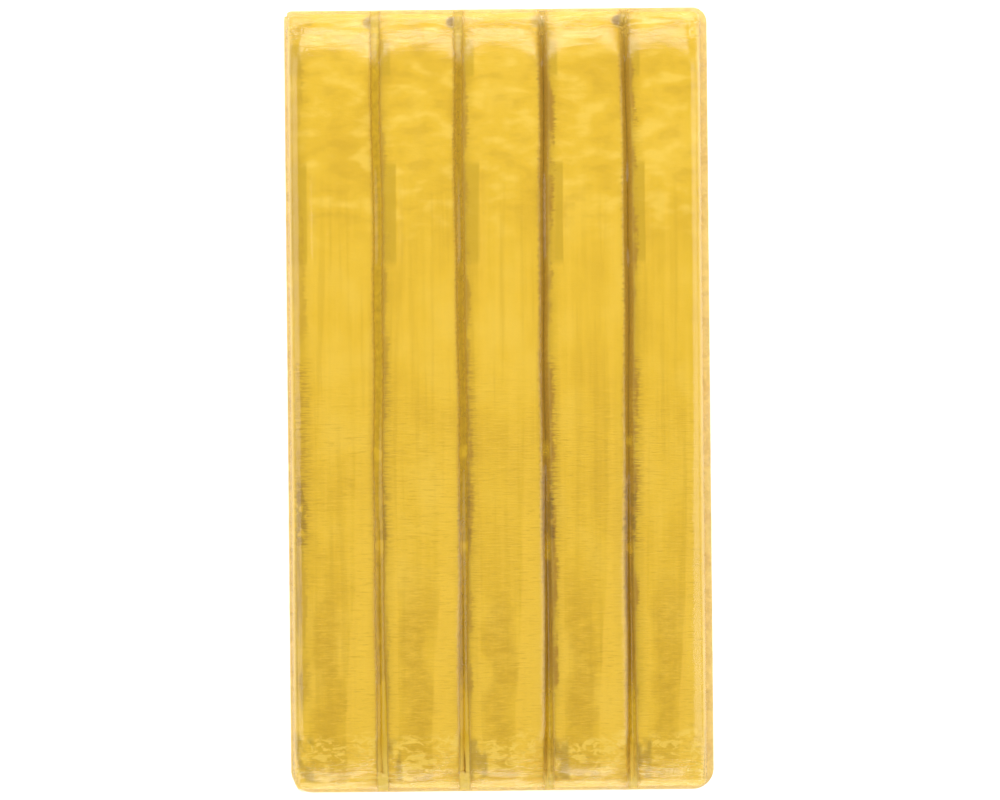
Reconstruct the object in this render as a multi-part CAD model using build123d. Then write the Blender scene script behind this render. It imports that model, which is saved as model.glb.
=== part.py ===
from build123d import *

import math
import os

# Film-wrapped clay bar. Five clay sticks lie side by side inside a clear wrapper that is
# one sheet of film, folded along the left side and trim-sealed along the other three.
# Millimetres, +Z up. The bar lies on its back, the sticks run along Y, and the origin is
# the centre of the underside.

# ---------------------------------------------------------------- clay sticks
FIRST_STICK_WIDTH = 15.9  # the stick beside the fold
MIDDLE_STICK_WIDTH = 14.6  # each of the three in the middle
LAST_STICK_WIDTH = 13.5  # the stick beside the side seal
MIDDLE_STICK_COUNT = 3
STICK_LENGTH = 137.8
STICK_HEIGHT = 24.3
STICK_GAP = 0.1  # slip gap between neighbours
STICK_EDGE_RADIUS = 3.0  # the long edges
STICK_END_RADIUS = 5.0  # upper and lower edges of the ends
NECK_CORNER_RADIUS = 2.6  # upright end edges that face a neighbour
OUTER_CORNER_RADIUS = 5.0  # upright end edges at the bar's own corners
SIDE_BULGE = 1.8  # swell of the bar's two outer sides at half height

# ---------------------------------------------------------------- wrapper film
FILM_THICKNESS = 0.15
FILM_GAP = 0.2  # room between clay and film
FILM_WRAP_ANGLE = 25.0  # how far the film follows a stick's edge into a cleft
FILM_CORNER_RADIUS = 4.0  # upright corners of the wrapper
CORNER_RUNOUT = 0.4  # a corner's arc starts this far outside the faces it rounds

# ---------------------------------------------------------------- fold and seals
FOLD_WIDTH = 0.5  # how far the fold ridge stands out
SIDE_SEAL_WIDTH = 1.2
END_SEAL_WIDTH = 1.0
SEAL_THICKNESS = 0.4
SEAL_CORNER_RADIUS = 2.5
OPENING_GAP = 0.3  # slit between the seals and the film that peels

SAME_POINT = 0.001  # two points nearer than this are one

# ---------------------------------------------------------------- values worked out
FILM_OFFSET = FILM_GAP + FILM_THICKNESS
HALF_HEIGHT = STICK_HEIGHT / 2
MID_PLANE = HALF_HEIGHT + FILM_OFFSET  # height of the fold and the seals
STICK_WIDTHS = [FIRST_STICK_WIDTH] + [MIDDLE_STICK_WIDTH] * MIDDLE_STICK_COUNT + [LAST_STICK_WIDTH]
CLAY_WIDTH = sum(STICK_WIDTHS) + STICK_GAP * (len(STICK_WIDTHS) - 1)
TOTAL_WIDTH = CLAY_WIDTH + 2 * FILM_OFFSET + FOLD_WIDTH + SIDE_SEAL_WIDTH
CLAY_LEFT = FOLD_WIDTH + FILM_OFFSET - TOTAL_WIDTH / 2
CLAY_RIGHT = CLAY_LEFT + CLAY_WIDTH
HINGE_X = CLAY_LEFT - FILM_OFFSET - FOLD_WIDTH / 2


def stick_spans():
    """Left and right side of every stick, from the fold to the side seal."""
    spans = []
    left = CLAY_LEFT
    for width in STICK_WIDTHS:
        spans.append((left, left + width))
        left += width + STICK_GAP
    return spans


def side_curve(x, outward, offset, bulge):
    """One upright side of a section, drawn upwards, standing off the clay by offset.

    outward is -1 for a left side and +1 for a right one. A side with a bulge is an arc
    whose widest point is at half height.
    """
    reach = HALF_HEIGHT + offset
    widest = x + outward * offset
    if bulge == 0:
        return Line((widest, -reach), (widest, reach))
    radius = (HALF_HEIGHT**2 + bulge**2) / (2 * bulge) + offset
    drawn_in = radius - math.sqrt(radius**2 - reach**2)
    end = widest - outward * drawn_in
    return ThreePointArc((end, -reach), (widest, 0), (end, reach))


def stick_section(left, right, left_bulge, right_bulge):
    """Cross-section of one stick, with its four long edges rounded."""
    left_side = side_curve(left, -1, 0, left_bulge)
    right_side = side_curve(right, 1, 0, right_bulge)
    top = Line(left_side @ 1, right_side @ 1)
    bottom = Line(left_side @ 0, right_side @ 0)
    face = make_face([left_side, top, right_side, bottom])
    return fillet(face.vertices(), STICK_EDGE_RADIUS)


def cleft_dip(middle, offset, side):
    """The film's dip into a cleft: it follows each stick's edge, then bridges across.

    side is +1 for the upper film and -1 for the lower. The curves run left to right.
    """
    angle = math.radians(FILM_WRAP_ANGLE)
    radius = STICK_EDGE_RADIUS + offset
    shoulder = STICK_GAP / 2 + STICK_EDGE_RADIUS
    flat = HALF_HEIGHT + offset
    leave = shoulder - radius * math.sin(angle)
    leave_z = flat - radius * (1 - math.cos(angle))
    half_x = shoulder - radius * math.sin(angle / 2)
    half_z = flat - radius * (1 - math.cos(angle / 2))
    floor_z = leave_z - leave * math.tan(angle / 2)
    return [
        ThreePointArc(
            (middle - shoulder, side * flat),
            (middle - half_x, side * half_z),
            (middle - leave, side * leave_z),
        ),
        ThreePointArc(
            (middle - leave, side * leave_z),
            (middle, side * floor_z),
            (middle + leave, side * leave_z),
        ),
        ThreePointArc(
            (middle + leave, side * leave_z),
            (middle + half_x, side * half_z),
            (middle + shoulder, side * flat),
        ),
    ]


def film_edge(start, end, offset, side):
    """The film's upper or lower outline from one side of the bar to the other."""
    curves = []
    pen = start
    spans = stick_spans()
    for (_, right), (left, _) in zip(spans, spans[1:]):
        dip = cleft_dip((right + left) / 2, offset, side)
        curves.append(Line(pen, dip[0] @ 0))
        curves += dip
        pen = dip[-1] @ 1
    curves.append(Line(pen, end))
    return curves


def film_section(offset):
    """Cross-section of the whole bar at a distance from the clay."""
    left_side = side_curve(CLAY_LEFT, -1, offset, SIDE_BULGE)
    right_side = side_curve(CLAY_RIGHT, 1, offset, SIDE_BULGE)
    top = film_edge(left_side @ 1, right_side @ 1, offset, 1)
    bottom = film_edge(left_side @ 0, right_side @ 0, offset, -1)
    face = make_face([left_side, right_side] + top + bottom)
    corners = [left_side @ 0, left_side @ 1, right_side @ 0, right_side @ 1]
    found = [v for v in face.vertices() if min((Vector(*v) - c).length for c in corners) < SAME_POINT]
    return fillet(found, STICK_EDGE_RADIUS + offset)


def plan_outline(left, right, length, left_radius, right_radius):
    """Plan outline that rounds the upright corners, a run-out wider than the faces."""
    low_x = left - CORNER_RUNOUT
    high_x = right + CORNER_RUNOUT
    half = length / 2 + CORNER_RUNOUT
    face = make_face(Polyline((low_x, -half), (high_x, -half), (high_x, half), (low_x, half), close=True))
    face = fillet(face.vertices().group_by(Axis.X)[0], left_radius)
    return fillet(face.vertices().group_by(Axis.X)[-1], right_radius)


def bar_form(section, length, height, end_radius, outline):
    """A bar of one section whose ends are rounded above, below and at the corners."""
    run = extrude(Plane.XZ * section, length / 2, both=True)
    width = run.bounding_box().size.X
    centre_x = run.bounding_box().center().X
    end_face = Plane.YZ * RectangleRounded(length, height, end_radius)
    rounding = Pos(centre_x, 0, 0) * extrude(end_face, width, both=True)
    corners = extrude(outline, height, both=True)
    return run & rounding & corners


def clay_stick(index):
    """One stick; index 0 is the stick beside the fold."""
    left, right = stick_spans()[index]
    first = index == 0
    last = index == len(STICK_WIDTHS) - 1
    left_bulge = SIDE_BULGE if first else 0
    right_bulge = SIDE_BULGE if last else 0
    section = stick_section(left, right, left_bulge, right_bulge)
    left_radius = OUTER_CORNER_RADIUS if first else NECK_CORNER_RADIUS
    right_radius = OUTER_CORNER_RADIUS if last else NECK_CORNER_RADIUS
    outline = plan_outline(left, right, STICK_LENGTH, left_radius, right_radius)
    return bar_form(section, STICK_LENGTH, STICK_HEIGHT, STICK_END_RADIUS, outline)


def wrapped_form(offset):
    """The solid inside a surface that stands off all the clay by offset."""
    length = STICK_LENGTH + 2 * offset
    height = STICK_HEIGHT + 2 * offset
    outline = plan_outline(
        CLAY_LEFT - offset, CLAY_RIGHT + offset, length, FILM_CORNER_RADIUS, FILM_CORNER_RADIUS
    )
    return bar_form(film_section(offset), length, height, STICK_END_RADIUS + offset, outline)


def slab(low_z, high_z):
    """Everything between two heights, for cutting the film."""
    reach = 2 * TOTAL_WIDTH + 2 * STICK_LENGTH
    return Pos(0, 0, (low_z + high_z) / 2) * Box(reach, reach, high_z - low_z)


def seal_ring(inner_form):
    """Fold ridge and three seals as one flat ring round the bar at half height."""
    length = STICK_LENGTH + 2 * (FILM_OFFSET + END_SEAL_WIDTH)
    plate = RectangleRounded(TOTAL_WIDTH, length, SEAL_CORNER_RADIUS)
    return extrude(plate, SEAL_THICKNESS / 2, both=True) - inner_form


def fold_bead():
    """Round bead of folded film along the straight of the left side, on the hinge axis."""
    straight = STICK_LENGTH + 2 * (FILM_OFFSET + END_SEAL_WIDTH - SEAL_CORNER_RADIUS)
    return Pos(HINGE_X, 0, 0) * Rot(90, 0, 0) * Cylinder(FOLD_WIDTH / 2, straight)


def side_region(low_x, high_x, low_y, high_y):
    """Box over the seals between two sides, for sharing the ring out."""
    centre = ((low_x + high_x) / 2, (low_y + high_y) / 2, 0)
    return Pos(*centre) * Box(high_x - low_x, high_y - low_y, STICK_HEIGHT)


def write(name, shape):
    """Write one node at its place above the surface that the bar lies on."""
    export_step(Pos(0, 0, MID_PLANE) * shape, os.path.join("parts", name + ".step"))


def main():
    os.makedirs("parts", exist_ok=True)
    for index in range(len(STICK_WIDTHS)):
        write(f"clay_stick_{index + 1}", clay_stick(index))

    inner_form = wrapped_form(FILM_GAP)
    film = wrapped_form(FILM_OFFSET) - inner_form
    front_low = SEAL_THICKNESS / 2 + OPENING_GAP
    write("front_film", film & slab(front_low, STICK_HEIGHT))
    write("back_film", film & slab(-STICK_HEIGHT, -SEAL_THICKNESS / 2))

    ring = seal_ring(inner_form)
    fold_edge = CLAY_LEFT - FILM_GAP
    seal_edge = CLAY_RIGHT + FILM_GAP
    end_edge = STICK_LENGTH / 2 + FILM_GAP
    far_x = TOTAL_WIDTH
    far_y = STICK_LENGTH
    fold = ring & side_region(HINGE_X, fold_edge, -far_y, far_y)
    write("film_fold", fold + fold_bead())
    write("side_seal", ring & side_region(seal_edge, far_x, -far_y, far_y))
    write("top_end_seal", ring & side_region(fold_edge, seal_edge, end_edge - OUTER_CORNER_RADIUS, far_y))
    write("bottom_end_seal", ring & side_region(fold_edge, seal_edge, -far_y, OUTER_CORNER_RADIUS - end_edge))
    print(f"hinge axis at x {HINGE_X:.3f}, z {MID_PLANE:.3f}; overall width {TOTAL_WIDTH:.3f}")


main()
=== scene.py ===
"""Looks of a film-wrapped clay bar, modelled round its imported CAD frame.

Five clay sticks lie side by side in a clear wrapper: one sheet of film folded along the left
side and trim-sealed along the other three. Lengths in this file are in millimetres, measured in
the frame's axes, unless a name says otherwise; meshes and nodes are written in metres.
"""

import logging
import math
from dataclasses import dataclass
from enum import Enum

import bpy
import numpy as np
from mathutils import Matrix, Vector, noise

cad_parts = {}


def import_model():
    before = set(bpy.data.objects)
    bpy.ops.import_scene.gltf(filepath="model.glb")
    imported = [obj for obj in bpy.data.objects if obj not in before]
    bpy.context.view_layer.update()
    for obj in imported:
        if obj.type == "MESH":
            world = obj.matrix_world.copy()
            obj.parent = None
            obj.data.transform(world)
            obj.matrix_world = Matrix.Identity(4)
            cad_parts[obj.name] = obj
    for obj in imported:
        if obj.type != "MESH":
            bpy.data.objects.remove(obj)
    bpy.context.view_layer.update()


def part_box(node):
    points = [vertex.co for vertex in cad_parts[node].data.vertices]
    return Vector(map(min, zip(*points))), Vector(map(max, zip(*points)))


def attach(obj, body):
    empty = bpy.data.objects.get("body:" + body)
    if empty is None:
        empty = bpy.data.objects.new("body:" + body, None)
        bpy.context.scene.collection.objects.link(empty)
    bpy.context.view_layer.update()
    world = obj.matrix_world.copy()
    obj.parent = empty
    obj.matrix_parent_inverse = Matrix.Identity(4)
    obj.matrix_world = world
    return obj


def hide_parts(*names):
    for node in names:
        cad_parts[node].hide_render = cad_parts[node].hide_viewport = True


Piece = bpy.types.Object
Socket = bpy.types.NodeSocket
Material = bpy.types.Material

MM = 0.001
LOG = logging.getLogger("clay_bar")


class Side(Enum):
    """The two faces of the bar; the value is the sign of Z that the face looks along."""

    FRONT = 1
    BACK = -1


class Trim(Enum):
    """The four edges of the wrapper."""

    FOLD = "film_fold"
    SIDE = "side_seal"
    TOP = "top_end_seal"
    BOTTOM = "bottom_end_seal"


def tint(red: int, green: int, blue: int) -> tuple[float, float, float, float]:
    """A colour given by its 8-bit display values, as linear numbers.

    Args:
        red: Red, 0 to 255.
        green: Green, 0 to 255.
        blue: Blue, 0 to 255.

    Returns:
        Linear red, green, blue and an alpha of 1.
    """

    def linear(value: int) -> float:
        """One channel."""
        part = value / 255
        return part / 12.92 if value <= 10 else ((part + 0.055) / 1.055) ** 2.4

    return (linear(red), linear(green), linear(blue), 1.0)


def smooth(values: np.ndarray, low: float, high: float) -> np.ndarray:
    """Smooth step from 0 at low to 1 at high, for a whole array."""
    t = np.clip((values - low) / (high - low), 0.0, 1.0)
    return t * t * (3 - 2 * t)


def bump_at(values: np.ndarray, centre: float, half: float) -> np.ndarray:
    """Soft bump of height 1 at centre that is nearly gone a half width away."""
    return np.exp(-(((values - centre) / half) ** 2))


def rough_field(points: np.ndarray, scale: tuple[float, float, float], seed: float) -> np.ndarray:
    """Perlin noise, about -1 to 1, at each point.

    Args:
        points: Places, one row each.
        scale: Size of a lump along each axis, in the same unit as the points.
        seed: Shifts the pattern, so that two fields differ.

    Returns:
        One value for each point.
    """
    scaled = points / np.array(scale) + seed
    return np.array([noise.noise(Vector(p)) for p in scaled])


# ---- places


@dataclass(frozen=True)
class Span:
    """A stretch between two places along one axis."""

    low: float
    high: float

    @property
    def middle(self) -> float:
        """Half way along the stretch."""
        return (self.low + self.high) / 2

    @property
    def half(self) -> float:
        """Half the length of the stretch."""
        return (self.high - self.low) / 2


# How darkly each cleft is painted, partly stain and partly painted shade, and how dark the painted
# shadow in the pocket at its upper end is, from the fold on.
CLEFT_STAINS_AND_SHADE = (0.42, 0.62, 1.0, 0.95)
CLEFT_POCKET_SHADOWS = (0.55, 0.7, 0.35, 0.75)
# The mark along the fold: how far in from the first stick's side it lies, and how dark it is.
FOLD_MARK_INSET = 1.7
FOLD_MARK_STAIN_AND_SHADE = 0.3


@dataclass(frozen=True)
class Cleft:
    """The narrow valley between two sticks, which wanders a little along the bar.

    Attributes:
        place: Where it lies across the bar, on average.
        number: Its number from the fold, starting at 0.
        stain_and_shade: How darkly the clay is painted in it, 0 to 1: partly stain and partly
            painted shade.
        pocket: How dark the painted shadow in the pocket at its upper end is, 0 to 1.
    """

    place: float
    number: int
    stain_and_shade: float
    pocket: float

    def waves(self) -> tuple[tuple[float, float, float], ...]:
        """Height, length and start of each wave that the wander is the sum of."""
        return ((0.17, 16.0, 2.1 * self.number), (0.07, 4.6, 1.3 * self.number + 0.7))

    def shift(self, y: np.ndarray) -> np.ndarray:
        """How far the cleft lies from its average place at each y."""
        return sum(height * np.sin(y / length + start) for height, length, start in self.waves())


@dataclass(frozen=True)
class BarLayout:
    """Where the bar's pieces lie, read from the frame.

    Attributes:
        sticks: Left and right side of each clay stick.
        clay_y: The sticks along their length.
        clay_z: The sticks from underside to top.
        film_x: The film from its left wall to its right one.
        film_y: The film along the bar.
        film_z: The film from the surface that the bar lies on to its front.
        whole_x: The bar with its fold and side seal.
        whole_y: The bar with its end seals.
        seal_z: Underside and top of the seals.
    """

    sticks: tuple[Span, ...]
    clay_y: Span
    clay_z: Span
    film_x: Span
    film_y: Span
    film_z: Span
    whole_x: Span
    whole_y: Span
    seal_z: Span

    @classmethod
    def from_frame(cls) -> "BarLayout":
        """Reads the layout from the CAD nodes' boxes."""

        def span(axis: int, first: str, last: str = "") -> Span:
            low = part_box(first)[0][axis] / MM
            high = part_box(last or first)[1][axis] / MM
            return Span(low, high)

        names = [f"clay_stick_{number}" for number in range(1, 6)]
        return cls(
            sticks=tuple(span(0, name) for name in names),
            clay_y=span(1, names[0]),
            clay_z=span(2, names[0]),
            film_x=span(0, "back_film"),
            film_y=span(1, "back_film"),
            film_z=span(2, "back_film", "front_film"),
            whole_x=span(0, Trim.FOLD.value, Trim.SIDE.value),
            whole_y=span(1, Trim.BOTTOM.value, Trim.TOP.value),
            seal_z=span(2, Trim.SIDE.value),
        )

    @property
    def clefts(self) -> tuple["Cleft", ...]:
        """The four clefts."""
        pairs = zip(self.sticks, self.sticks[1:], CLEFT_STAINS_AND_SHADE, CLEFT_POCKET_SHADOWS)
        return tuple(
            Cleft((left.high + right.low) / 2, number, stain_and_shade, pocket)
            for number, (left, right, stain_and_shade, pocket) in enumerate(pairs)
        )

    @property
    def fold_mark(self) -> Cleft:
        """The ragged mark along the first stick where the film is drawn round its side."""
        return Cleft(self.sticks[0].low + FOLD_MARK_INSET, len(CLEFT_STAINS_AND_SHADE), FOLD_MARK_STAIN_AND_SHADE, 0.0)


# ---- relief


@dataclass(frozen=True)
class Relief:
    """The hand-made unevenness of the ribs, which the clay has and the film lies over.

    Attributes:
        layout: Places of the sticks.
        crown: How far a rib falls from its middle to its sides.
        flank: How far the right flank of a rib falls in the lower half of the bar.
        dent: Depth of the pressed left flanks in the upper half.
        sag: Height of the slow waves.
        dimple: Height of the small dimples.
        end_roll: Extra fall towards the two ends.
        edge: Radius of the long edges of the sticks.
    """

    layout: BarLayout
    crown: float = 0.16
    flank: float = 0.62
    dent: float = 0.22
    sag: float = 0.14
    dimple: float = 0.05
    end_roll: float = 2.5
    edge: float = 0.75

    def across(self, x: np.ndarray) -> np.ndarray:
        """Place across the rib that holds x, from -1 at its left side to 1 at its right."""
        result = np.zeros_like(x)
        for index, stick in enumerate(self.layout.sticks):
            inside = (x >= stick.low) & (x <= stick.high)
            if index == 0:
                inside |= x < stick.low
            if index == len(self.layout.sticks) - 1:
                inside |= x > stick.high
            result[inside] = (x[inside] - stick.middle) / stick.half
        return np.clip(result, -1.0, 1.0)

    def edge_drop(self, x: np.ndarray, y: np.ndarray) -> np.ndarray:
        """How far the rounded edges of the sticks next to the clefts lie below their tops."""
        drop = np.zeros_like(x)
        for cleft in self.layout.clefts:
            away = np.abs(x - cleft.place - cleft.shift(y))
            into = np.clip(self.edge - away, 0.0, self.edge * 0.98)
            drop += self.edge - np.sqrt(self.edge**2 - into**2)
        return drop

    def fall(self, x: np.ndarray, y: np.ndarray, side: Side) -> np.ndarray:
        """How far the surface lies below the flat at each place of a face.

        Args:
            x: Places across the bar.
            y: Places along the bar.
            side: Which face.

        Returns:
            Depths, 0 or more nearly everywhere.
        """
        u = self.across(x)
        flat = np.column_stack([x, y, np.full_like(x, 7.0 * side.value)])
        slow = rough_field(flat, (11.0, 19.0, 10.0), 3.7)
        fine = rough_field(flat, (4.2, 3.1, 10.0), 8.1)
        fall = self.crown * u**2 + self.sag * (0.5 + 0.5 * slow)
        pillow = np.abs(y) + 3.0 * u**2 + 0.8 * slow
        ends = smooth(pillow, self.layout.clay_y.high - 9.0, self.layout.clay_y.high + 2.5)
        fall += self.end_roll * ends**1.2
        if side is Side.BACK:
            return fall * 0.35
        lower = smooth(-y, -8.0, 48.0)
        start = 0.42 - 0.3 * smooth(-y, 10.0, 62.0)
        fall += self.flank * lower * np.clip((u - start) / (1 - start), 0.0, 1.0) ** 1.3
        window = smooth(y, 22.0, 26.0) * (1 - smooth(y, 38.0, 44.0))
        fall += self.dent * window * (1 - smooth(u, -0.5, -0.38))
        upper = smooth(y, 28.0, 40.0)
        fall += self.dimple * (0.6 + upper) * (0.5 + 0.5 * fine)
        return fall


# ---- shading


class Signal:
    """A value socket; each operator used on it adds the Math node that works it out."""

    def __init__(self, graph: "Graph", socket: Socket) -> None:
        """Wraps a socket of a graph."""
        self.graph = graph
        self.socket = socket

    def joined(self, operation: str, first: object, second: object = 0.0) -> "Signal":
        """A Math node of that operation on two values or signals."""
        made = self.graph.node("ShaderNodeMath", {"operation": operation}, {0: first, 1: second})
        return Signal(self.graph, made.outputs[0])

    def __add__(self, other: object) -> "Signal":
        """self + other."""
        return self.joined("ADD", self, other)

    __radd__ = __add__

    def __sub__(self, other: object) -> "Signal":
        """self - other."""
        return self.joined("SUBTRACT", self, other)

    def __rsub__(self, other: object) -> "Signal":
        """other - self."""
        return self.joined("SUBTRACT", other, self)

    def __mul__(self, other: object) -> "Signal":
        """self * other."""
        return self.joined("MULTIPLY", self, other)

    __rmul__ = __mul__

    def __truediv__(self, other: object) -> "Signal":
        """self / other."""
        return self.joined("DIVIDE", self, other)

    def __pow__(self, other: object) -> "Signal":
        """self to the power other."""
        return self.joined("POWER", self, other)

    def __abs__(self) -> "Signal":
        """Size without sign."""
        return self.joined("ABSOLUTE", self)

    def at_most(self, limit: float) -> "Signal":
        """The value, or the limit where that is less."""
        return self.joined("MINIMUM", self, limit)

    def sine(self) -> "Signal":
        """Sine of the angle in radians."""
        return self.joined("SINE", self)

    def step(self, low: float, high: float) -> "Signal":
        """Smooth step from 0 at low to 1 at high; it falls where low is above high."""
        flipped = low > high
        ends = {"From Min": min(low, high), "From Max": max(low, high)}
        made = self.graph.node(
            "ShaderNodeMapRange", {"interpolation_type": "SMOOTHSTEP"}, {"Value": self, **ends}
        )
        rise = Signal(self.graph, made.outputs["Result"])
        return 1 - rise if flipped else rise

    def window(self, low: float, high: float, soft: float) -> "Signal":
        """1 between low and high, fading to 0 over soft outside them."""
        return self.step(low - soft, low) * self.step(high + soft, high)


class Graph:
    """The node tree of one material, with its coordinates already split in millimetres."""

    def __init__(self, name: str) -> None:
        """Starts an empty material of that name."""
        self.material = bpy.data.materials.new(name)
        self.material.use_nodes = True
        self.tree = self.material.node_tree
        self.tree.nodes.clear()
        place = self.node("ShaderNodeTexCoord").outputs["Object"]
        settings = {"operation": "SCALE"}
        scaled = self.node("ShaderNodeVectorMath", settings, {0: place, "Scale": 1 / MM})
        self.place = scaled.outputs[0]
        split = self.node("ShaderNodeSeparateXYZ", sockets={0: self.place})
        self.x, self.y, self.z = (Signal(self, socket) for socket in split.outputs)

    def node(
        self, kind: str, settings: dict[str, object] | None = None, sockets: dict | None = None
    ) -> bpy.types.Node:
        """Adds a node.

        Args:
            kind: The node's type.
            settings: Its own properties, set first.
            sockets: A value, signal or socket for each input, by name or number.

        Returns:
            The node.
        """
        made = self.tree.nodes.new(kind)
        for key, value in (settings or {}).items():
            setattr(made, key, value)
        for key, value in (sockets or {}).items():
            target = made.inputs[key]
            if isinstance(value, Signal):
                self.tree.links.new(value.socket, target)
            elif isinstance(value, Socket):
                self.tree.links.new(value, target)
            else:
                target.default_value = value
        return made

    def stretched(self, sizes: tuple[float, float, float], shift: float) -> Socket:
        """The place divided by a lump size along each axis, shifted by a seed."""
        start = (shift, shift * 1.7, shift * 0.6)
        scale = tuple(1 / size for size in sizes)
        sockets = {"Vector": self.place, "Location": start, "Scale": scale}
        return self.node("ShaderNodeMapping", {"vector_type": "POINT"}, sockets).outputs[0]

    def noise(
        self,
        sizes: tuple[float, float, float],
        shift: float = 0.0,
        detail: float = 2.0,
        rough: float = 0.5,
        warp: float = 0.0,
    ) -> Signal:
        """Noise, about 0 to 1 round 0.5, with lumps of those sizes in millimetres."""
        sockets = {
            "Vector": self.stretched(sizes, shift),
            "Scale": 1.0,
            "Detail": detail,
            "Roughness": rough,
            "Distortion": warp,
        }
        return Signal(self, self.node("ShaderNodeTexNoise", sockets=sockets).outputs[0])

    def cleft_distance(self, cleft: Cleft) -> Signal:
        """Distance across the bar from a cleft, positive to its right."""
        away = self.x - cleft.place
        for height, length, start in cleft.waves():
            away = away - (self.y / length + start).sine() * height
        return away

    def blend(self, factor: object, low: object, high: object) -> Socket:
        """Mixes two colours by a factor."""
        settings = {"data_type": "RGBA", "blend_type": "MIX", "clamp_factor": True}
        return self.node("ShaderNodeMix", settings, {0: factor, 6: low, 7: high}).outputs[2]

    def bump(self, height: Signal, depth: float) -> Socket:
        """A normal bent by a height signal, depth being the height of 1 in millimetres."""
        sockets = {"Strength": 1.0, "Distance": depth * MM, "Height": height}
        return self.node("ShaderNodeBump", sockets=sockets).outputs[0]

    def mix(self, share: Signal, low: Socket, high: Socket) -> Socket:
        """Two shaders mixed, share being the second one's."""
        return self.node("ShaderNodeMixShader", sockets={0: share, 1: low, 2: high}).outputs[0]

    def finish(self, shader: Socket) -> Material:
        """Joins the last shader to the output and returns the material."""
        self.node("ShaderNodeOutputMaterial", sockets={"Surface": shader})
        return self.material


class Paint:
    """Colours laid over each other in one material."""

    def __init__(self, graph: Graph, ground: tuple) -> None:
        """Starts with one even colour."""
        self.graph = graph
        self.colour: object = ground

    def lay(self, mask: Signal, colour: tuple) -> None:
        """Lays a colour over the rest as far as the mask, 0 to 1, says."""
        self.colour = self.graph.blend(mask, self.colour, colour)


@dataclass(frozen=True)
class Zone:
    """A stretch along the bar in which something shows."""

    low: float
    high: float
    fade: float

    def on(self, place: Signal) -> Signal:
        """1 in the zone, fading to 0 past its ends."""
        return place.window(self.low, self.high, self.fade)


DIMPLE_SHEEN = Zone(34, 66, 9)
PRESSED = Zone(25, 41, 1.6)
NOOK = Zone(57.5, 63, 0.8)
DRAWN = Zone(-52, 30, 14)
PATCHED = Zone(-58, -42, 18)
FOOT = Zone(-66.8, -60.0, 1.8)
SHADED = Zone(-50, 64, 10)
BROWN_LIPS = Zone(-50, 58, 5)
HAIRY = Zone(-25, 6, 3)
SPOTTED = Zone(-24, -15, 2)
PULLED = Zone(-52, -28, 5)
BREAKS = (Zone(-8.8, -8.2, 1.6), Zone(-26.4, -25.8, 1.6))


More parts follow.
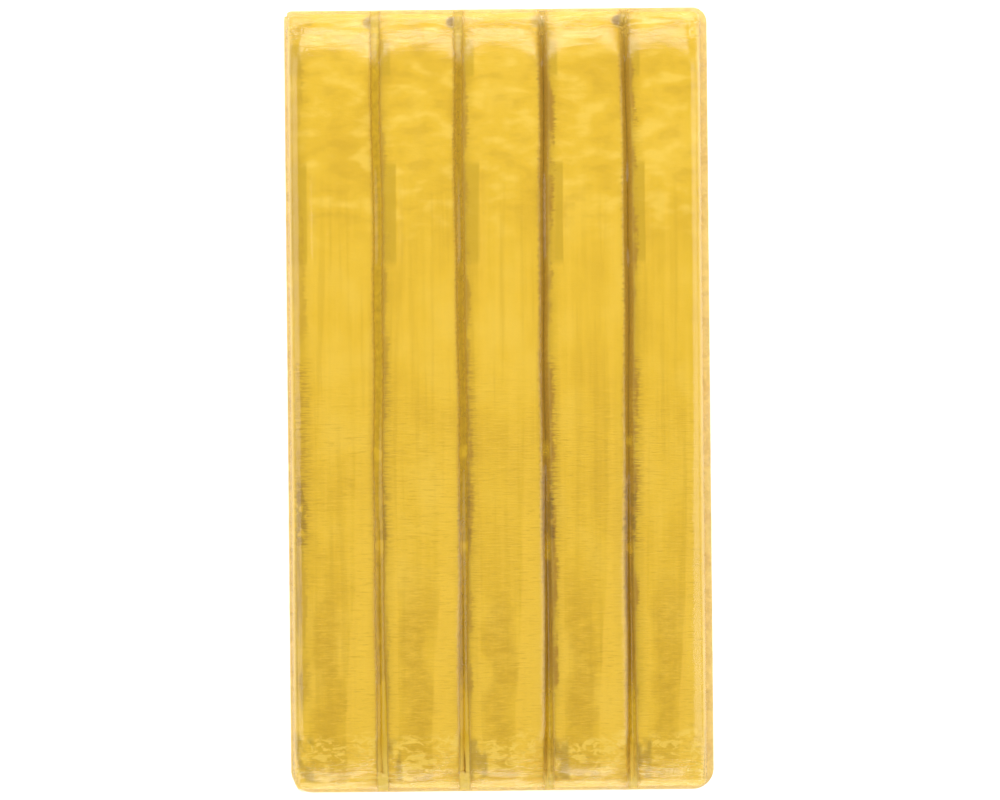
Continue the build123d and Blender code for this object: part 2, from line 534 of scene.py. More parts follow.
@dataclass(frozen=True)
class ClayFinish:
    """Waxy yellow clay under film: ochre where it is pressed, brown down in the clefts, partly
    stain and partly painted shade, with painted highlights and shade in places.

    Attributes:
        layout: Places of the sticks.
        body: The clay's own colour.
        pale: Where the film lies off the clay, or catches oil; also the painted highlights on the
            dabbed dimples near the upper end, the painted glints on the ruffles of the lower end
            and the painted reflection along the rims of both ends.
        light: Where it was stretched and is a little lighter, and the painted highlight stripe on
            the right flank of each rib in the lower half.
        ochre: Where the clay is wet against the film.
        olive: Painted shade on the pressed left flanks, in the nooks near the upper end and beside
            each cleft.
        moss: The hollows at the lower ends.
        brown: The lips of the clefts, partly stain and partly painted shade.
        soot_and_shadow: The darkest marks: the painted shadow in the pockets at the clefts' upper
            ends, and dark spots and streaks in the clefts.
        rough: Roughness of the clay.
        depth: Height of its fine relief in millimetres.
    """

    layout: BarLayout
    body: tuple = tint(235, 195, 50)
    pale: tuple = tint(250, 216, 94)
    light: tuple = tint(246, 206, 68)
    ochre: tuple = tint(208, 166, 30)
    olive: tuple = tint(204, 168, 32)
    moss: tuple = tint(184, 148, 36)
    brown: tuple = tint(178, 134, 34)
    soot_and_shadow: tuple = tint(106, 72, 22)
    rough: float = 0.42
    depth: float = 0.16

    def material(self, index: int) -> Material:
        """The clay of one stick.

        Args:
            index: The stick, counted from the fold.

        Returns:
            Its material.
        """
        graph = Graph(f"clay_{index + 1}")
        stick = self.layout.sticks[index]
        seed = 13.1 * (index + 1)
        y = graph.y
        across = (graph.x - stick.middle) / stick.half
        depth = self.layout.clay_z.high - graph.z
        front = depth.step(7.0, 4.0)
        face = depth.step(3.2, 1.6)
        wander = graph.noise((6.0, 9.0, 6.0), seed + 7) - 0.5
        paint = Paint(graph, self.body)

        # Slow mottling, and the dabbed part near the upper end, whose pale dabs are painted
        # highlights on its dimples.
        slow = graph.noise((9.0, 14.0, 9.0), seed, 3.0, 0.55)
        paint.lay(slow.step(0.45, 0.75) * 0.35, self.pale)
        paint.lay(slow.step(0.52, 0.3) * 0.3, self.ochre)
        dab = graph.noise((5.0, 2.6, 5.0), seed + 4, 2.0, 0.45, 0.15)
        dimple_sheen = DIMPLE_SHEEN.on(y) * front
        paint.lay(dab.step(0.5, 0.72) * dimple_sheen * 0.6, self.pale)
        paint.lay(dab.step(0.5, 0.3) * dimple_sheen * 0.4, self.ochre)

        # Painted shade on the pressed left flank and in the nook by its left side near the upper
        # end, and the lines drawn along the stick.
        pressed = (across + wander * 0.04).step(-0.52, -0.56) * PRESSED.on(y)
        paint.lay(pressed * face * 0.7, self.olive)
        lines = graph.noise((1.3, 45.0, 1.3), seed + 10, 3.0, 0.6)
        length = DRAWN.on(y) * front
        paint.lay(lines.step(0.5, 0.68) * length * 0.3, self.light)
        paint.lay(lines.step(0.5, 0.32) * length * 0.3, self.ochre)
        nook = (across + wander * 0.1).step(-0.62, -0.68) * NOOK.on(y + wander * 3)
        paint.lay(nook * face * 0.7, self.olive)

        # Wet patches of the lower half, a painted highlight stripe along the right flank of the
        # rib, and a lighter stripe near its left side.
        low_half = y.step(14, -40)
        middle = (across + wander * 1.1).window(-0.3, 0.05, 0.3) * PATCHED.on(y) * front
        patch = graph.noise((2.6, 1.3, 2.6), seed + 8, 4.0, 0.7)
        paint.lay(middle * (patch.step(0.32, 0.68) * 0.5 + 0.3), self.ochre)
        edge = 0.52 - low_half * 0.12 - y.step(-30, -60) * 0.2
        right_highlight = (across + wander * 0.12 - edge).step(-0.02, 0.05) * low_half
        paint.lay(right_highlight * front * 0.6, self.light)
        left_stripe = (across + wander * 0.1).window(-0.8, -0.62, 0.05) * y.step(-14, -38)
        paint.lay(left_stripe * front * 0.4, self.light)

        # Fine lines across the stick.
        crinkle = graph.noise((2.4, 0.28, 2.4), seed + 9, 3.0, 0.62)
        brushed = y.step(10, -8) * 0.85 + 0.15
        paint.lay(crinkle.step(0.54, 0.7) * brushed * 0.5, self.light)
        paint.lay(crinkle.step(0.46, 0.3) * brushed * 0.5, self.ochre)

        # Ruffles and smudges of the lower end, with painted glints on the ruffles, and a painted
        # reflection along the pale rims of both ends.
        foot = FOOT.on(y + wander * 7) * front
        ruffle = graph.noise((2.2, 1.3, 2.2), seed + 11, 4.0, 0.65, 0.8)
        paint.lay(foot * ruffle.step(0.48, 0.58) * 0.8, self.pale)
        paint.lay(foot * ruffle.step(0.42, 0.34) * 0.4, self.ochre)
        heel = (across + wander * 0.3).step(-0.45, -0.55) + across.step(0.84, 0.9)
        smudge = graph.noise((2.2, 4.5, 2.2), seed + 12, 2.0)
        paint.lay(heel * foot * smudge.step(0.36, 0.6) * 0.75, self.moss)
        paint.lay((abs(y) + ruffle * 1.2).step(67.7, 68.5) * 0.8, self.pale)

        marks = [cleft for cleft in self.layout.clefts if cleft.number in (index - 1, index)]
        if index == 0:
            marks.append(self.layout.fold_mark)
        for mark in marks:
            self._stains_and_shade(paint, mark, front)

        grain = graph.noise((0.5, 0.35, 0.5), seed + 20, 4.0, 0.65)
        relief = crinkle * brushed * 0.9 + grain * 0.25 + dab * 0.5
        sockets = {
            "Base Color": paint.colour,
            "Roughness": grain * 0.2 + self.rough - 0.1,
            "Normal": graph.bump(relief, self.depth),
            "IOR": 1.35,
        }
        return graph.finish(graph.node("ShaderNodeBsdfPrincipled", sockets=sockets).outputs[0])

    def _stains_and_shade(self, paint: Paint, cleft: Cleft, front: Signal) -> None:
        """Adds the marks of one cleft on the clay beside it: painted shade, mostly to its right,
        brown lips that are partly stain and partly painted shade, a painted shadow in the pocket
        at its upper end, and dark hairs, spots and streaks.

        Args:
            paint: The clay's paint.
            cleft: The cleft.
            front: 1 on the front of the stick.
        """
        graph, y, stain_and_shade, number = paint.graph, paint.graph.y, cleft.stain_and_shade, cleft.number
        away = graph.cleft_distance(cleft)
        ragged = graph.noise((1.5, 0.4, 1.5), 15.0 + number, 4.0, 0.7) - 0.5
        off = away + ragged * 2.4
        shade = off.step(3.4, 0.3) * off.step(-1.2, -0.3) * SHADED.on(y)
        paint.lay(shade * front * (0.35 + 0.4 * stain_and_shade), self.olive)
        along = graph.noise((3.0, 10.0, 3.0), 17.0 + number, 3.0, 0.6)
        fade = BROWN_LIPS.on(y) * along.step(0.32, 0.64)
        # Brown lips beside the cleft, partly stain and partly painted shade.
        band = (off - fade * 1.2).step(1.0, 0.2) * off.step(-1.2, -0.5) * y.step(-60, -50)
        paint.lay(band * (fade * 0.8 + 0.2) * front * (0.15 + 0.8 * stain_and_shade), self.brown)
        hairs = graph.noise((2.6, 0.27, 2.6), 19.0 + number, 2.0, 0.6)
        near = away.step(3.2, 0.6) * away.step(-0.8, -0.2) * HAIRY.on(y)
        paint.lay(near * hairs.step(0.5, 0.56) * front * (0.35 + 0.55 * stain_and_shade), self.brown)
        # Painted shadow in the pocket at the cleft's upper end.
        pocket = (away + 0.9) ** 2 * 0.5 + (y - 66.9) ** 2 * 0.6
        paint.lay(pocket.step(1.3, 0.3) * front * cleft.pocket, self.soot_and_shadow)
        blob = graph.noise((1.6, 2.4, 1.6), 22.0 + number, 2.0).step(0.38, 0.5)
        spot = (off - 0.2).step(1.3, 0.4) * off.step(-0.9, -0.3) * SPOTTED.on(y) * blob
        paint.lay(spot * front * (0.25 + stain_and_shade * 0.6), self.soot_and_shadow)
        streak = graph.noise((0.45, 7.0, 0.45), 25.0 + number, 2.0, 0.6).step(0.45, 0.6)
        pull = (away + ragged * 0.8).step(0.9, 0.4) * away.step(-0.8, -0.4) * PULLED.on(y)
        paint.lay(pull * streak * front * stain_and_shade * 0.85, self.soot_and_shadow)


@dataclass(frozen=True)
class FilmFinish:
    """Clear, glossy shrink film: it shows the clay, catches the light and clouds at creases.

    Attributes:
        haze_colour: Colour of the clouded film, also laid over the clefts near the ends as a
            painted highlight.
        bridge_colour: Colour of the film where it bridges a cleft, the clefts' brown, partly stain
            and partly painted shade.
        faint_colour: The same over a cleft that is stained and shaded only faintly.
        bridge: How much more of the light it scatters there.
        core: Half width over which it is clouded and tinted fully.
        margin: Half width over which it is clouded and tinted at all.
        haze: How much of the light the flat film scatters.
        cloud: How much more it scatters where it is creased.
        most: The most it scatters anywhere.
        shine: How much of the light it mirrors face on.
        grazing: How much it mirrors at a grazing angle.
        gloss: Roughness of the reflections.
        depth: Height of the fine wrinkles.
    """

    haze_colour: tuple = tint(252, 224, 122)
    bridge_colour: tuple = tint(186, 140, 36)
    faint_colour: tuple = tint(216, 174, 42)
    bridge: float = 0.36
    core: float = 0.3
    margin: float = 1.2
    haze: float = 0.006
    cloud: float = 0.25
    most: float = 0.94
    shine: float = 0.028
    grazing: float = 0.15
    gloss: float = 0.15
    depth: float = 0.07

    def material(self, name: str, layout: BarLayout) -> Material:
        """The film's material.

        Args:
            name: Name of the material.
            layout: Places of the bar.

        Returns:
            The material.
        """
        graph = Graph(name)
        end = abs(graph.y).step(layout.clay_y.high - 9, layout.clay_y.high - 2)
        crease = graph.noise((7.0, 1.1, 2.2), 2.0, 4.0, 0.6, 1.2)
        fine = graph.noise((1.6, 0.4, 1.6), 5.0, 3.0, 0.6, 0.4)
        pucker = graph.noise((3.0, 3.0, 3.0), 9.0, 2.0, 0.5, 0.5)
        height = fine * 0.6 + pucker * 0.7 + crease * (end * 2.2 + 0.25)
        normal = graph.bump(height, self.depth)
        haze, tone = self._clouding(graph, layout, crease.step(0.5, 0.66) * end)
        milk = graph.node(
            "ShaderNodeBsdfPrincipled",
            sockets={
                "Base Color": tone,
                "Roughness": 1.0,
                "Specular IOR Level": 0.0,
                "Normal": normal,
            },
        )
        clear = graph.node("ShaderNodeBsdfTransparent", sockets={"Color": (1.0, 0.99, 0.95, 1.0)})
        shine = graph.node(
            "ShaderNodeBsdfAnisotropic",
            {"distribution": "GGX"},
            {"Color": (1.0, 1.0, 1.0, 1.0), "Roughness": self.gloss, "Normal": normal},
        )
        facing = graph.node("ShaderNodeLayerWeight", sockets={"Blend": 0.5, "Normal": normal})
        edge_on = Signal(graph, facing.outputs["Facing"])
        mirror = edge_on**5 * (self.grazing - self.shine) + self.shine
        body = graph.mix(haze, clear.outputs[0], milk.outputs[0])
        return graph.finish(graph.mix(mirror, body, shine.outputs[0]))

    def _clouding(self, graph: Graph, layout: BarLayout, cloud: Signal) -> tuple[Signal, Socket]:
        """How much the film scatters, and the colour that it scatters.

        Args:
            graph: The film's material.
            layout: Places of the bar.
            cloud: 1 on the creases of the ends.

        Returns:
            The share of light scattered, and the colour.
        """
        y = graph.y
        overs = [
            (abs(graph.cleft_distance(cleft)).step(self.margin, self.core), cleft.stain_and_shade)
            for cleft in layout.clefts
        ]
        valley = sum(over * (2.6 - stain_and_shade * 1.7) for over, stain_and_shade in overs)
        dark = sum(over * (stain_and_shade * 1.7 - 0.7) for over, stain_and_shade in overs)
        front = graph.z.step(layout.film_z.middle, layout.film_z.middle + 4)
        uneven = y + graph.noise((9.0, 9.0, 9.0), 6.0) * 7.0 - 3.5
        breaks = sum(zone.on(uneven) * 0.6 for zone in BREAKS)
        # Near the ends the film over the clefts is painted pale and clouded more: a painted
        # highlight.
        ends = abs(y).step(58, 66) * 0.5
        smear = graph.noise((1.3, 1.8, 1.3), 12.0, 3.0, 0.65) * 1.2 + 0.4 + ends * 0.4
        closed = y.step(-46, -57) * 1.2 + breaks + 1
        haze = cloud * self.cloud + self.haze + valley * front * smear * closed * self.bridge
        dark = dark * (1 - breaks - ends) * (1 - y.step(-44, -55))
        # The film over a cleft is tinted in the clefts' brown, partly stain and partly painted
        # shade.
        stained = graph.blend(dark, self.faint_colour, self.bridge_colour)
        cleft_tint = valley.step(0.0, 0.6) * front * (1 - ends)
        return haze.at_most(self.most), graph.blend(cleft_tint, self.haze_colour, stained)


@dataclass(frozen=True)
class SealFinish:
    """Fused film at the trim: the same film in several layers, pale, crimped and half clear."""

    colour: tuple = tint(255, 228, 146)
    shade: tuple = tint(244, 204, 104)
    clear: float = 0.4

    def material(self, name: str) -> Material:
        """The seals' material, under that name."""
        graph = Graph(name)
        ripple = graph.noise((4.0, 4.0, 1.5), 4.0, 3.0, 0.6, 0.3)
        fine = graph.noise((0.4, 0.4, 0.4), 8.0, 2.0)
        colour = graph.blend(ripple.step(0.6, 0.35) * 0.35, self.colour, self.shade)
        normal = graph.bump(ripple + fine * 0.5, 0.12)
        shader = graph.node(
            "ShaderNodeBsdfPrincipled",
            sockets={
                "Base Color": colour,
                "Roughness": fine * 0.2 + 0.15,
                "Normal": normal,
                "Alpha": ripple.step(0.2, 0.7) * self.clear + (1 - self.clear),
            },
        )
        return graph.finish(shader.outputs[0])


# ---- modelling


def set_mode(mode: str) -> None:
    """Switches the active piece to that mode."""
    bpy.ops.object.mode_set(mode=mode)


def clear_selection() -> None:
    """Leaves nothing selected and object mode on."""
    if bpy.context.object and bpy.context.object.mode != "OBJECT":
        set_mode("OBJECT")
    bpy.ops.object.select_all(action="DESELECT")


def coords(piece: Piece) -> np.ndarray:
    """The vertices of a piece in millimetres, one row each."""
    flat = np.empty(len(piece.data.vertices) * 3, dtype=np.float64)
    piece.data.vertices.foreach_get("co", flat)
    return flat.reshape(-1, 3) / MM


def set_coords(piece: Piece, points: np.ndarray) -> None:
    """Moves the vertices of a piece to those places in millimetres."""
    piece.data.vertices.foreach_set("co", (points * MM).ravel())
    piece.data.update()


def apply_modifier(piece: Piece, kind: str, **settings: object) -> None:
    """Adds a modifier of that kind with those settings and applies it."""
    made = piece.modifiers.new(kind.lower(), kind)
    for key, value in settings.items():
        setattr(made, key, value)
    bpy.context.view_layer.objects.active = piece
    bpy.ops.object.modifier_apply(modifier=made.name)


def pick_edges(piece: Piece, wanted: object) -> None:
    """Selects the edges for which wanted(first place, second place) is true, in edit mode.

    Args:
        piece: The piece, in object mode.
        wanted: A test on the edge's two ends in millimetres.
    """
    set_mode("EDIT")
    bpy.ops.mesh.select_mode(type="EDGE")
    bpy.ops.mesh.select_all(action="DESELECT")
    set_mode("OBJECT")
    places = coords(piece)
    for edge in piece.data.edges:
        first, second = edge.vertices
        edge.select = bool(wanted(places[first], places[second]))
    set_mode("EDIT")


def bevel_edges(piece: Piece, wanted: object, radius: float, segments: int) -> None:
    """Rounds the edges that wanted picks to a radius, and ends in object mode."""
    pick_edges(piece, wanted)
    bpy.ops.mesh.bevel(offset=radius * MM, segments=segments, affect="EDGES")
    set_mode("OBJECT")


def dress(piece: Piece, material: Material, angle: float) -> None:
    """Gives a piece its one material and smooth shading below an angle in degrees."""
    piece.data.materials.clear()
    piece.data.materials.append(material)
    clear_selection()
    piece.select_set(True)
    bpy.context.view_layer.objects.active = piece
    bpy.ops.object.shade_smooth_by_angle(angle=math.radians(angle))


@dataclass
class ClayStick:
    """One stick of clay: a bar with soft edges, pressed and dimpled by hand and film.

    Attributes:
        layout: Places of the bar.
        relief: The unevenness of the ribs.
        index: Number of the stick from the fold, starting at 0.
        end: Radius of the upper and lower edges of the ends.
        voxel: Size of the cells that the surface is divided into.
        bulge: How far an outer side draws in from half height to the face.
    """

    layout: BarLayout
    relief: Relief
    index: int
    end: float = 3.6
    voxel: float = 0.55
    bulge: float = 0.9

    @property
    def node(self) -> str:
        """Name of the CAD node that this stick stands for."""
        return f"clay_stick_{self.index + 1}"

    def build(self) -> Piece:
        """Models the stick and returns it."""
        span, along, tall = self.layout.sticks[self.index], self.layout.clay_y, self.layout.clay_z
        clear_selection()
        bpy.ops.mesh.primitive_cube_add(
            size=1.0,
            location=(span.middle * MM, along.middle * MM, tall.middle * MM),
            scale=(2 * span.half * MM, 2 * along.half * MM, 2 * tall.half * MM),
        )
        piece = bpy.context.object
        piece.name = f"clay_bar_stick_{self.index + 1}"
        bpy.ops.object.transform_apply(location=True, rotation=True, scale=True)
        self._round_edges(piece)
        apply_modifier(piece, "REMESH", mode="VOXEL", voxel_size=self.voxel * MM)
        self._press(piece)
        return piece

    def _round_edges(self, piece: Piece) -> None:
        """Rounds the ends first, then every edge that is still sharp."""
        near = 0.01
        span = self.layout.sticks[self.index]
        bevel_edges(piece, lambda a, b: abs(a[0] - b[0]) > 1, self.end, 8)
        bevel_edges(
            piece,
            lambda a, b: max(abs(a[0] - b[0]), abs(abs(a[0] - span.middle) - span.half)) < near,
            self.relief.edge,
            5,
        )

    def _press(self, piece: Piece) -> None:
        """Moves the surface as the hand and the film pressed it."""
        points = coords(piece)
        tall, along, span = self.layout.clay_z, self.layout.clay_y, self.layout.sticks[self.index]
        height = (points[:, 2] - tall.middle) / tall.half
        front = smooth(height, 0.35, 1.0)
        back = smooth(-height, 0.35, 1.0)
        points[:, 2] -= front * self.relief.fall(points[:, 0], points[:, 1], Side.FRONT)
        points[:, 2] += back * self.relief.fall(points[:, 0], points[:, 1], Side.BACK)
        first, last = self.index == 0, self.index == len(self.layout.sticks) - 1
        drawn = self.bulge * height**2
        u = (points[:, 0] - span.middle) / span.half
        if first:
            points[:, 0] += drawn * smooth(-u, 0.0, 1.0)
        if last:
            points[:, 0] -= drawn * smooth(u, 0.0, 1.0)
        for cleft in self.layout.clefts:
            if cleft.number == self.index - 1:
                points[:, 0] += cleft.shift(points[:, 1]) * smooth(-u, 0.0, 0.9)
            if cleft.number == self.index:
                points[:, 0] += cleft.shift(points[:, 1]) * smooth(u, 0.0, 0.9)
        ends = rough_field(points, (4.0, 30.0, 3.0), 31.0 + self.index)
        reach = smooth(np.abs(points[:, 1]), along.high - 3, along.high)
        points[:, 1] -= np.sign(points[:, 1]) * reach * 0.35 * (0.5 + 0.5 * ends)
        set_coords(piece, points)

    def dressed(self, finish: ClayFinish) -> Piece:
        """Builds the stick, gives it its clay and joins it to the frame."""
        piece = self.build()
        dress(piece, finish.material(self.index), 70)
        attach(piece, f"stick_{self.index + 1}")
        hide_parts(self.node)
        return piece


@dataclass
class FilmShell:
    """Half of the wrapper: film drawn over one face of the bar and down to half height.

    Attributes:
        layout: Places of the bar.
        relief: The unevenness under it.
        side: Which face it covers.
        columns: Cells across the sheet before it is drawn down.
        rows: Cells along it.
        thick: Thickness of the film.
        side_radius: Roundness where the face turns into the left and right walls.
        end_radius: Roundness where it turns into the ends.
        dip: Depth of the film over a cleft.
        dip_half: Half width of that dip.
        bulge: How far the side walls draw in towards the face.
        slit: Room left between the film's edge and the seals.
    """

    layout: BarLayout
    relief: Relief
    side: Side
    columns: int = 176
    rows: int = 236
    thick: float = 0.06
    side_radius: float = 1.9
    end_radius: float = 3.9
    dip: float = 0.25
    dip_half: float = 0.8
    bulge: float = 0.9
    slit: float = 0.3

    @property
    def node(self) -> str:
        """Name of the CAD node that this shell stands for."""
        return "front_film" if self.side is Side.FRONT else "back_film"

    @property
    def flat(self) -> tuple[float, float]:
        """Half width and half length of the part of the sheet that stays on the face."""
        half_x = self.layout.film_x.half - self.side_radius - self.bulge
        return half_x, self.layout.film_y.half - self.end_radius

    def build(self) -> Piece:
        """Models the shell and returns it."""
        wall = self._wall_length(self.side_radius)
        half_x, half_y = self.flat
        clear_selection()
        bpy.ops.mesh.primitive_grid_add(
            x_subdivisions=self.columns, y_subdivisions=self.rows, size=1.0, location=(0, 0, 0)
        )
        piece = bpy.context.object
        piece.name = f"clay_bar_{self.node}"
        bpy.ops.transform.resize(value=(2 * (half_x + wall) * MM, 2 * (half_y + wall) * MM, 1.0))
        bpy.ops.object.transform_apply(location=True, rotation=True, scale=True)
        sheet = coords(piece)[:, :2]
        sheet[:, 0] = self._crowd(sheet[:, 0])
        reach = self._reach(sheet)
        set_coords(piece, self._drape(sheet))
        self._trim(piece, reach > 1.0001)
        if self.side is Side.BACK:
            set_mode("EDIT")
            bpy.ops.mesh.select_all(action="SELECT")
            bpy.ops.mesh.flip_normals()
            set_mode("OBJECT")
        apply_modifier(
            piece, "SOLIDIFY", thickness=self.thick * MM, offset=-1.0, use_even_offset=False
        )
        return piece

    def _wall_length(self, radius: float) -> float:
        """Length of film from the start of an edge's curve down to the slit."""
        down = self.layout.film_z.half - (self.layout.seal_z.half + self.slit)
        return math.pi / 2 * radius + down - radius

    def _crowd(self, x: np.ndarray) -> np.ndarray:
        """Draws the sheet's columns together over the clefts, where the film bends most."""
        centre = self.layout.film_x.middle
        moved = x.copy()
        for cleft in self.layout.clefts:
            away = x - (cleft.place - centre)
            moved -= 2.2 * away / 3.0 * np.exp(-((away / 3.0) ** 2)) * 0.55
        return moved

    def _past_flat(self, sheet: np.ndarray) -> tuple[np.ndarray, np.ndarray]:
        """How far each point lies past the flat part along both axes, and in all."""
        over = np.maximum(np.abs(sheet) - self.flat, 0.0)
        return over, np.hypot(over[:, 0], over[:, 1])

    def _reach(self, sheet: np.ndarray) -> np.ndarray:
        """How far down the wall each point of the sheet lies, 1 being the slit."""
        over, distance = self._past_flat(sheet)
        return distance / self._local_wall(over, distance)

    def _share(self, over: np.ndarray, distance: np.ndarray) -> np.ndarray:
        """How much a point belongs to an end rather than a side, 0 to 1."""
        return np.where(distance > 0, (over[:, 1] / np.maximum(distance, 1e-9)) ** 2, 0.0)

    def _local_wall(self, over: np.ndarray, distance: np.ndarray) -> np.ndarray:
        """Wall length at a point, between that of a side and that of an end."""
        share = self._share(over, distance)
        side, end = self._wall_length(self.side_radius), self._wall_length(self.end_radius)
        return (1 - share) * side + share * end

    def _drape(self, sheet: np.ndarray) -> np.ndarray:
        """Draws the flat sheet over the face and down the walls.

        Args:
            sheet: Places on the flat sheet, measured from its middle.

        Returns:
            The same points in place on the bar.
        """
        layout = self.layout
        over, distance = self._past_flat(sheet)
        share = self._share(over, distance)
        radius = (1 - share) * self.side_radius + share * self.end_radius
        wall = self._local_wall(over, distance)
        arc = np.minimum(distance, wall)
        angle = np.minimum(arc / radius, math.pi / 2)
        straight = np.maximum(arc - radius * math.pi / 2, 0.0)
        out = radius * np.sin(angle)
        down = radius * (1 - np.cos(angle)) + straight
        tall = layout.film_z.half
        lower = np.clip((down - radius * 0.4) / (tall - radius * 0.4), 0, 1)
        swell = self.bulge * np.sin(math.pi / 2 * lower)
        out += swell * np.where(distance > 0, 1 - share, 0.0)
        way = np.where(distance[:, None] > 0, over / np.maximum(distance, 1e-9)[:, None], 0.0)
        sign = np.sign(sheet)
        base = np.minimum(np.abs(sheet), self.flat)
        x = layout.film_x.middle + sign[:, 0] * (base[:, 0] + way[:, 0] * out)
        y = layout.film_y.middle + sign[:, 1] * (base[:, 1] + way[:, 1] * out)
        level = tall - down
        face = np.cos(angle)
        normal = np.column_stack(
            [sign[:, 0] * way[:, 0] * np.sin(angle), sign[:, 1] * way[:, 1] * np.sin(angle), face]
        )
        room = self.relief.edge_drop(x, y) + 0.2
        inward = np.minimum(self._inward(x, y, down, distance), room)
        inward += face * (self.relief.fall(x, y, self.side) - 0.05)
        place = np.column_stack([x, y, level]) - normal * inward[:, None]
        place[:, 2] = layout.film_z.middle + self.side.value * place[:, 2]
        return place

    def _inward(
        self, x: np.ndarray, y: np.ndarray, down: np.ndarray, distance: np.ndarray
    ) -> np.ndarray:
        """How far the film is drawn in at each point by the clefts and its own wrinkles."""
        layout = self.layout
        end = smooth(np.abs(y), layout.clay_y.high - 8.0, layout.clay_y.high - 1.0)
        dips = np.zeros_like(x)
        for cleft in layout.clefts:
            away = x - cleft.place - cleft.shift(y)
            depth = self.dip * (0.7 + 0.3 * cleft.stain_and_shade) * (1 - 0.4 * smooth(y, 50.0, 62.0))
            dips += depth * bump_at(away, 0.0, self.dip_half)
            dips += depth * 0.2 * bump_at(away, 1.3, 1.3)
            pocket = bump_at(away, -0.9, 1.5) * bump_at(y, layout.clay_y.high - 1.6, 1.7)
            dips += 0.5 * pocket * (0.5 + 0.5 * ((cleft.number * 7) % 3))
        points = np.column_stack([x, y, down])
        crease = rough_field(points, (9.0, 1.5, 2.4), 41.0 * self.side.value)
        crease = 1 - np.abs(crease) * 2.2
        ripple = rough_field(points, (2.8, 2.0, 2.8), 17.0)
        soft = rough_field(points, (6.0, 8.0, 6.0), 23.0)
        walls = np.where(distance > 0, 1.0, 0.0)
        inward = dips + 0.16 * end * np.clip(crease, -0.3, 1) + 0.03 * ripple + 0.05 * soft * walls
        return inward + 0.02

    def _trim(self, piece: Piece, beyond: np.ndarray) -> None:
        """Cuts away the cells that lie wholly past the slit."""
        set_mode("EDIT")
        bpy.ops.mesh.select_mode(type="FACE")
        bpy.ops.mesh.select_all(action="DESELECT")
        set_mode("OBJECT")
        for face in piece.data.polygons:
            face.select = all(beyond[corner] for corner in face.vertices)
        set_mode("EDIT")
        bpy.ops.mesh.delete(type="FACE")
        bpy.ops.mesh.select_all(action="SELECT")
        bpy.ops.mesh.remove_doubles(threshold=0.02 * MM)
        bpy.ops.mesh.dissolve_degenerate(threshold=0.01 * MM)
        set_mode("OBJECT")

    def dressed(self, material: Material) -> Piece:
        """Builds the shell, gives it its film and joins it to the frame."""
        piece = self.build()
        dress(piece, material, 60)
        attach(piece, "wrapper_front" if self.side is Side.FRONT else "wrapper_back")
        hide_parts(self.node)
        return piece


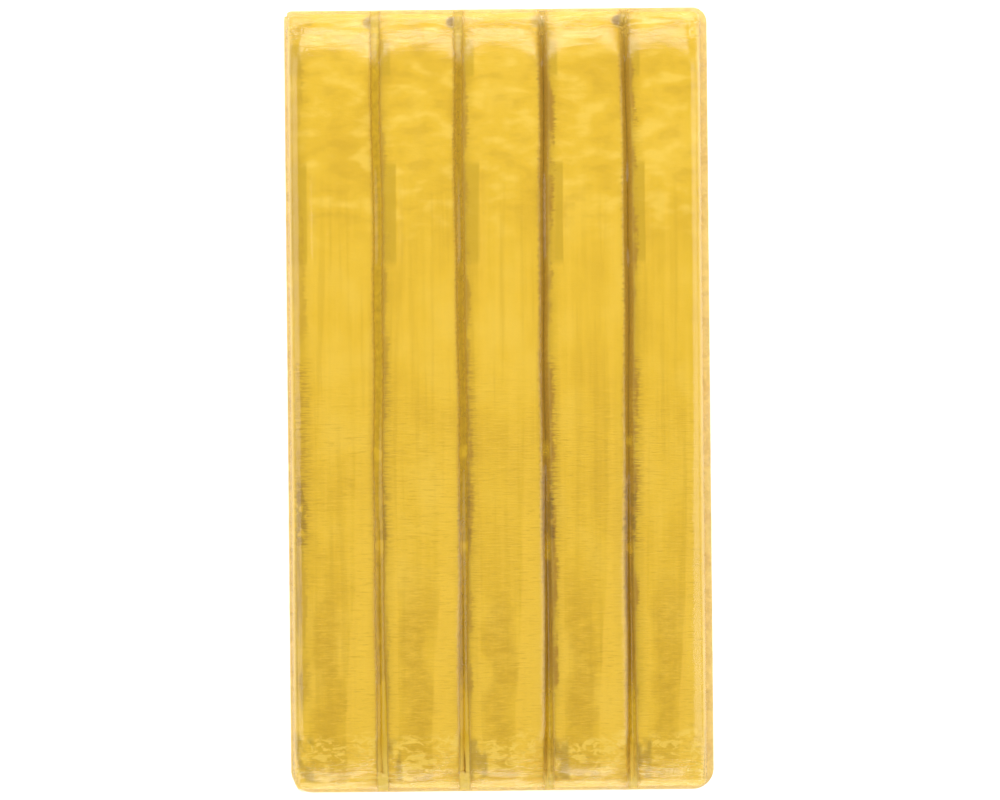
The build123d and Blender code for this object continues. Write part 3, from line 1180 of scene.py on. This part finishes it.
@dataclass
class TrimStrip:
    """A fused edge of the wrapper: a thin strip with a slightly uneven, crimped edge.

    Attributes:
        layout: Places of the bar.
        trim: Which edge.
        cell: Length of a cell along the strip.
        wave: Height of the ripples across its thickness.
        fray: How uneven its outer edge is.
        thick: Half its thickness.
        inner: How far it reaches in between the two films.
        upper_corners: Radii of the bar's upper corners, left and right.
        lower_corners: Radii of its lower ones.
    """

    layout: BarLayout
    trim: Trim
    cell: float = 0.7
    wave: float = 0.06
    fray: float = 0.07
    thick: float = 0.15
    inner: float = 0.3
    upper_corners: tuple[float, float] = (1.6, 2.8)
    lower_corners: tuple[float, float] = (4.2, 4.0)

    def build(self) -> Piece:
        """Models the strip and returns it."""
        low, high = self._corners()
        clear_selection()
        centre = (low + high) / 2
        size = high - low
        bpy.ops.mesh.primitive_cube_add(
            size=1.0, location=tuple(centre * MM), scale=tuple(size * MM)
        )
        piece = bpy.context.object
        piece.name = f"clay_bar_{self.trim.value}"
        bpy.ops.object.transform_apply(location=True, rotation=True, scale=True)
        along = 0 if self.trim in (Trim.TOP, Trim.BOTTOM) else 1
        pick_edges(piece, lambda a, b: abs(a[along] - b[along]) > 1)
        bpy.ops.mesh.bevel(offset=0.14 * MM, segments=3, affect="EDGES")
        self._slice(piece, along, low, high)
        set_mode("OBJECT")
        self._crimp(piece, along, low, high)
        return piece

    def _corners(self) -> tuple[np.ndarray, np.ndarray]:
        """Lowest and highest corner of the straight strip."""
        layout, inner = self.layout, self.inner
        x, y, film_x, film_y = layout.whole_x, layout.whole_y, layout.film_x, layout.film_y
        low, high = {
            Trim.FOLD: ((x.low, film_y.low), (film_x.low + inner, film_y.high)),
            Trim.SIDE: ((film_x.high - inner, y.low), (x.high, y.high)),
            Trim.TOP: ((film_x.low, film_y.high - inner), (film_x.high - inner, y.high)),
            Trim.BOTTOM: ((film_x.low, y.low), (film_x.high - inner, film_y.low + inner)),
        }[self.trim]
        level = layout.seal_z.middle
        return np.array([*low, level - self.thick]), np.array([*high, level + self.thick])

    def _slice(self, piece: Piece, along: int, low: np.ndarray, high: np.ndarray) -> None:
        """Cuts the strip into cells along its length."""
        count = int((high[along] - low[along]) / self.cell)
        normal = [0.0, 0.0, 0.0]
        normal[along] = 1.0
        for step in range(1, count):
            place = [0.0, 0.0, 0.0]
            place[along] = (low[along] + (high[along] - low[along]) * step / count) * MM
            bpy.ops.mesh.select_all(action="SELECT")
            bpy.ops.mesh.bisect(plane_co=place, plane_no=normal)

    def _crimp(self, piece: Piece, along: int, low: np.ndarray, high: np.ndarray) -> None:
        """Ripples the strip and makes its outer edge uneven."""
        points = coords(piece)
        out = 1 - along
        outward = -1.0 if self.trim in (Trim.FOLD, Trim.BOTTOM) else 1.0
        depth = (points[:, out] - low[out]) / (high[out] - low[out])
        depth = 1 - depth if outward < 0 else depth
        line = np.zeros_like(points)
        line[:, along] = points[:, along]
        wave = rough_field(line, (2.2, 2.2, 1.0), 11.0)
        fray = rough_field(line, (3.5, 3.5, 1.0), 15.0)
        points[:, 2] += self.wave * wave * depth
        points[:, out] -= outward * self.fray * (0.5 + 0.5 * fray) * depth
        set_coords(piece, self._cornered(points))

    def _cornered(self, points: np.ndarray) -> np.ndarray:
        """Draws the points that lie past the bar's rounded corners in to their arcs."""
        layout = self.layout
        middle = np.array([layout.whole_x.middle, layout.whole_y.middle])
        half = np.array([layout.whole_x.half, layout.whole_y.half])
        away = points[:, :2] - middle
        sign = np.sign(away)
        upper, lower = self.upper_corners, self.lower_corners
        right = (away[:, 0] > 0).astype(int)
        radius = np.where(away[:, 1] > 0, np.array(upper)[right], np.array(lower)[right])
        past = np.abs(away) - (half - radius[:, None])
        length = np.hypot(past[:, 0], past[:, 1])
        outside = (past[:, 0] > 0) & (past[:, 1] > 0) & (length > radius)
        pull = np.where(outside, radius / np.maximum(length, 1e-9), 1.0)
        moved = past * pull[:, None] + (half - radius[:, None])
        points[outside, :2] = (middle + sign * moved)[outside]
        return points

    def dressed(self, material: Material) -> Piece:
        """Builds the strip, gives it its finish and joins it to the frame."""
        piece = self.build()
        dress(piece, material, 60)
        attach(piece, "wrapper_back")
        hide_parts(self.trim.value)
        return piece


# ---- studio


@dataclass(frozen=True)
class Lamp:
    """One soft lamp.

    Attributes:
        name: Its name.
        place: Where it hangs.
        target: What it points at.
        size: Width and height of its face.
        power: Watts.
    """

    name: str
    place: tuple[float, float, float]
    target: tuple[float, float, float]
    size: tuple[float, float]
    power: float

    def hang(self) -> None:
        """Adds the lamp to the scene."""
        data = bpy.data.lights.new(self.name, "AREA")
        data.shape = "RECTANGLE"
        data.size, data.size_y = self.size[0] * MM, self.size[1] * MM
        data.energy = self.power
        lamp = bpy.data.objects.new(self.name, data)
        bpy.context.scene.collection.objects.link(lamp)
        lamp.location = Vector(self.place) * MM
        aim = Vector(self.target) - Vector(self.place)
        lamp.rotation_mode = "QUATERNION"
        lamp.rotation_quaternion = aim.to_track_quat("-Z", "Y")


@dataclass(frozen=True)
class Studio:
    """White table, soft lamps and the camera straight above the bar.

    Attributes:
        layout: Places of the bar.
        lens: Focal length of the camera.
        view_width: Width that the camera sees at the bar's half height.
        roll: Turn of the camera about its view, in degrees.
    """

    layout: BarLayout
    lens: float = 120.0
    view_width: float = 179.662
    roll: float = 0.55

    def set_up(self) -> None:
        """Builds the whole studio."""
        self._camera()
        self._floor()
        self._world()
        lamps = (
            Lamp("top_softbox", (0, 350, 300), (0, 30, 20), (460, 240), 1.36),
            Lamp("right_box", (470, -40, 330), (0, 0, 0), (460, 560), 1.4),
            Lamp("left_box", (-470, 20, 330), (0, 0, 0), (460, 560), 1.4),
            Lamp("bottom_fill", (0, -480, 170), (0, 0, 0), (420, 200), 1.0),
        )
        for lamp in lamps:
            lamp.hang()
        view = bpy.context.scene.view_settings
        view.view_transform = "Standard"
        view.look = "None"

    def _camera(self) -> None:
        """Adds the camera at the height from which it sees the view's width."""
        data = bpy.data.cameras.new("camera")
        data.lens = self.lens
        camera = bpy.data.objects.new("camera", data)
        bpy.context.scene.collection.objects.link(camera)
        distance = self.lens * self.view_width / data.sensor_width
        camera.location = (0.2 * MM, 0, (self.layout.seal_z.middle + distance) * MM)
        camera.rotation_euler = (0, 0, math.radians(-self.roll))
        bpy.context.scene.camera = camera

    def _floor(self) -> None:
        """Adds the pale table, which glows a little so that it stays white."""
        clear_selection()
        bpy.ops.mesh.primitive_plane_add(size=6.0, location=(0, 0, 0))
        floor = bpy.context.object
        floor.name = "floor"
        graph = Graph("table_white")
        shader = graph.node(
            "ShaderNodeBsdfPrincipled",
            sockets={
                "Base Color": (0.8, 0.8, 0.8, 1.0),
                "Roughness": 0.9,
                "Emission Color": (1.0, 1.0, 1.0, 1.0),
                "Emission Strength": 0.55,
            },
        )
        floor.data.materials.append(graph.finish(shader.outputs[0]))

    def _world(self) -> None:
        """Gives the room its even light."""
        world = bpy.data.worlds.new("studio")
        bpy.context.scene.world = world
        world.use_nodes = True
        sky = world.node_tree.nodes["Background"]
        sky.inputs["Color"].default_value = (1.0, 1.0, 1.0, 1.0)
        sky.inputs["Strength"].default_value = 0.25


def main() -> None:
    """Builds every piece round the frame and sets the studio up."""
    logging.basicConfig(level=logging.INFO, format="%(message)s")
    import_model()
    layout = BarLayout.from_frame()
    relief = Relief(layout)
    clay = ClayFinish(layout)
    film = FilmFinish().material("wrapper_film", layout)
    seal = SealFinish().material("fused_trim")
    count = len(layout.sticks)
    pieces = [ClayStick(layout, relief, index).dressed(clay) for index in range(count)]
    pieces += [FilmShell(layout, relief, side).dressed(film) for side in Side]
    pieces += [TrimStrip(layout, trim).dressed(seal) for trim in Trim]
    for piece in pieces:
        LOG.info("%s: %d faces", piece.name, len(piece.data.polygons))
    Studio(layout).set_up()


if __name__ == "__main__":
    main()
